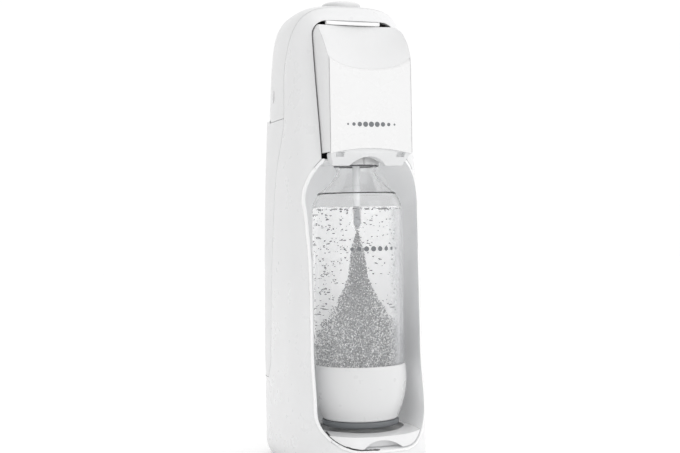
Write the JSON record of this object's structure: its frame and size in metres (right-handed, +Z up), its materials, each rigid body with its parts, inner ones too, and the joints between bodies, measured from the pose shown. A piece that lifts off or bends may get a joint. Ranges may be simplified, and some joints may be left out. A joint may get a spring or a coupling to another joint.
{
  "type": "soda carbonator",
  "caption": "Upright countertop machine that carbonates water: a screw-in bottle hangs in an open bay from a tipping head, a gas cylinder stands behind it, and a push button works the valve.",
  "frame": {"origin": "centre of the footprint, on the worktop under the rubber feet", "axes": "+Z up, the bottle bay faces -Y, +X is to the right seen from the front"},
  "size_m": [0.1304, 0.1897, 0.4321],
  "materials": {
    "white_shell": "satin",
    "white_cover": "satin",
    "white_panel": "satin",
    "grey_liner": "satin",
    "chin_grey": "satin",
    "white_button": "satin",
    "base_grey": "matt",
    "foot_rubber": "matt",
    "screw_steel": "satin",
    "frame_plastic": "matt",
    "holder_metal": "satin",
    "seal_rubber": "matt",
    "tube_plastic": "satin",
    "fitting_brass": "satin",
    "cylinder_paint": "satin",
    "valve_brass": "satin",
    "spring_steel": "bright",
    "lever_steel": "satin",
    "head_plastic": "matt",
    "collar_white": "satin",
    "nozzle_white": "satin",
    "bottle_clear": "clear",
    "water_clear": "clear",
    "cup_white": "satin",
    "ring_grey": "satin",
    "tray_white": "gloss"
  },
  "bodies": {
    "base": {"front_housing": "white_shell", "rear_housing": "white_cover", "bay_liner": "grey_liner", "base_plate": "base_grey", "rubber_feet": "foot_rubber", "base_screws": "screw_steel", "inner_frame": "frame_plastic", "frame_screws": "screw_steel", "cylinder_holder": "holder_metal", "cylinder_seal": "seal_rubber", "gas_tube": "tube_plastic", "tube_fittings": "fitting_brass", "button_guide": "frame_plastic", "lever_pivot_pin": "screw_steel", "head_cover": "white_cover", "head_front_panel": "white_panel", "head_chin": "chin_grey", "button_spring": "spring_steel"},
    "button": {"carbonating_button": "white_button"},
    "lever": {"actuator_lever": "lever_steel"},
    "actuator": {"actuator_pin": "lever_steel"},
    "head": {"carbonation_head": "head_plastic", "head_pivot_pins": "holder_metal", "bottle_collar": "collar_white", "bottle_seal": "seal_rubber", "nozzle_tube": "nozzle_white", "nozzle_tip": "nozzle_white", "relief_valve_body": "fitting_brass", "relief_spring": "spring_steel"},
    "relief": {"relief_poppet": "valve_brass"},
    "bottle": {"bottle": "bottle_clear", "bottle_water": "water_clear", "bottle_cup": "cup_white", "bottle_foot_ring": "ring_grey"},
    "tray": {"drip_tray": "tray_white"},
    "rear_cover": {"rear_cover": "white_cover", "latch_spring": "spring_steel"},
    "cover_latch": {"rear_cover_latch": "white_button"},
    "cylinder": {"gas_cylinder": "cylinder_paint", "cylinder_valve_body": "valve_brass", "valve_spring": "spring_steel"},
    "cylinder_pin": {"valve_pin": "lever_steel"}
  },
  "joints": [
    {"name": "button_press", "type": "slide", "parent": "base", "child": "button", "axis": [0, 0, -1], "range_m": [0, 0.008], "stiffness_N_per_m": 600, "springref_m": -0.004, "deforming": ["button_spring"]},
    {"name": "lever_turn", "type": "hinge", "parent": "base", "child": "lever", "pos_m": [0, 0.066, 0.382], "axis": [1, 0, 0], "range_deg": [0, 7]},
    {"name": "actuator_slide", "type": "slide", "parent": "base", "child": "actuator", "axis": [0, 0, -1], "range_m": [0, 0.00147]},
    {"name": "valve_pin_slide", "type": "slide", "parent": "cylinder", "child": "cylinder_pin", "axis": [0, 0, -1], "range_m": [0, 0.00147], "deforming": ["valve_spring"]},
    {"name": "head_tilt", "type": "hinge", "parent": "base", "child": "head", "pos_m": [0, -0.016, 0.3101], "axis": [-1, 0, 0], "range_deg": [0, 12]},
    {"name": "bottle_turn", "type": "hinge", "parent": "head", "child": "bottle", "pos_m": [0, -0.034, 0.15], "axis": [0, 0, 1], "range_deg": [-90, 0]},
    {"name": "relief_lift", "type": "slide", "parent": "head", "child": "relief", "axis": [0, 0, 1], "range_m": [0, 0.0015], "stiffness_N_per_m": 800, "springref_m": -0.002, "deforming": ["relief_spring"]},
    {"name": "tray_slide", "type": "slide", "parent": "base", "child": "tray", "axis": [0, -1, 0], "range_m": [0, 0.13]},
    {"name": "rear_cover_off", "type": "slide", "parent": "base", "child": "rear_cover", "axis": [0, 1, 0], "range_m": [0, 0.12]},
    {"name": "cover_latch_press", "type": "slide", "parent": "rear_cover", "child": "cover_latch", "axis": [0, 0, -1], "range_m": [0, 0.003], "stiffness_N_per_m": 400, "springref_m": -0.002, "deforming": ["latch_spring"]},
    {"name": "cylinder_turn", "type": "hinge", "parent": "base", "child": "cylinder", "pos_m": [0, 0.054, 0.2], "axis": [0, 0, 1], "range_deg": [0, 180]}
  ],
  "couplings": [
    {"joint": "lever_turn", "follows": "button_press", "rad_per_m": 15.15},
    {"joint": "actuator_slide", "follows": "button_press", "ratio": 0.1825},
    {"joint": "valve_pin_slide", "follows": "button_press", "ratio": 0.1825}
  ]
}
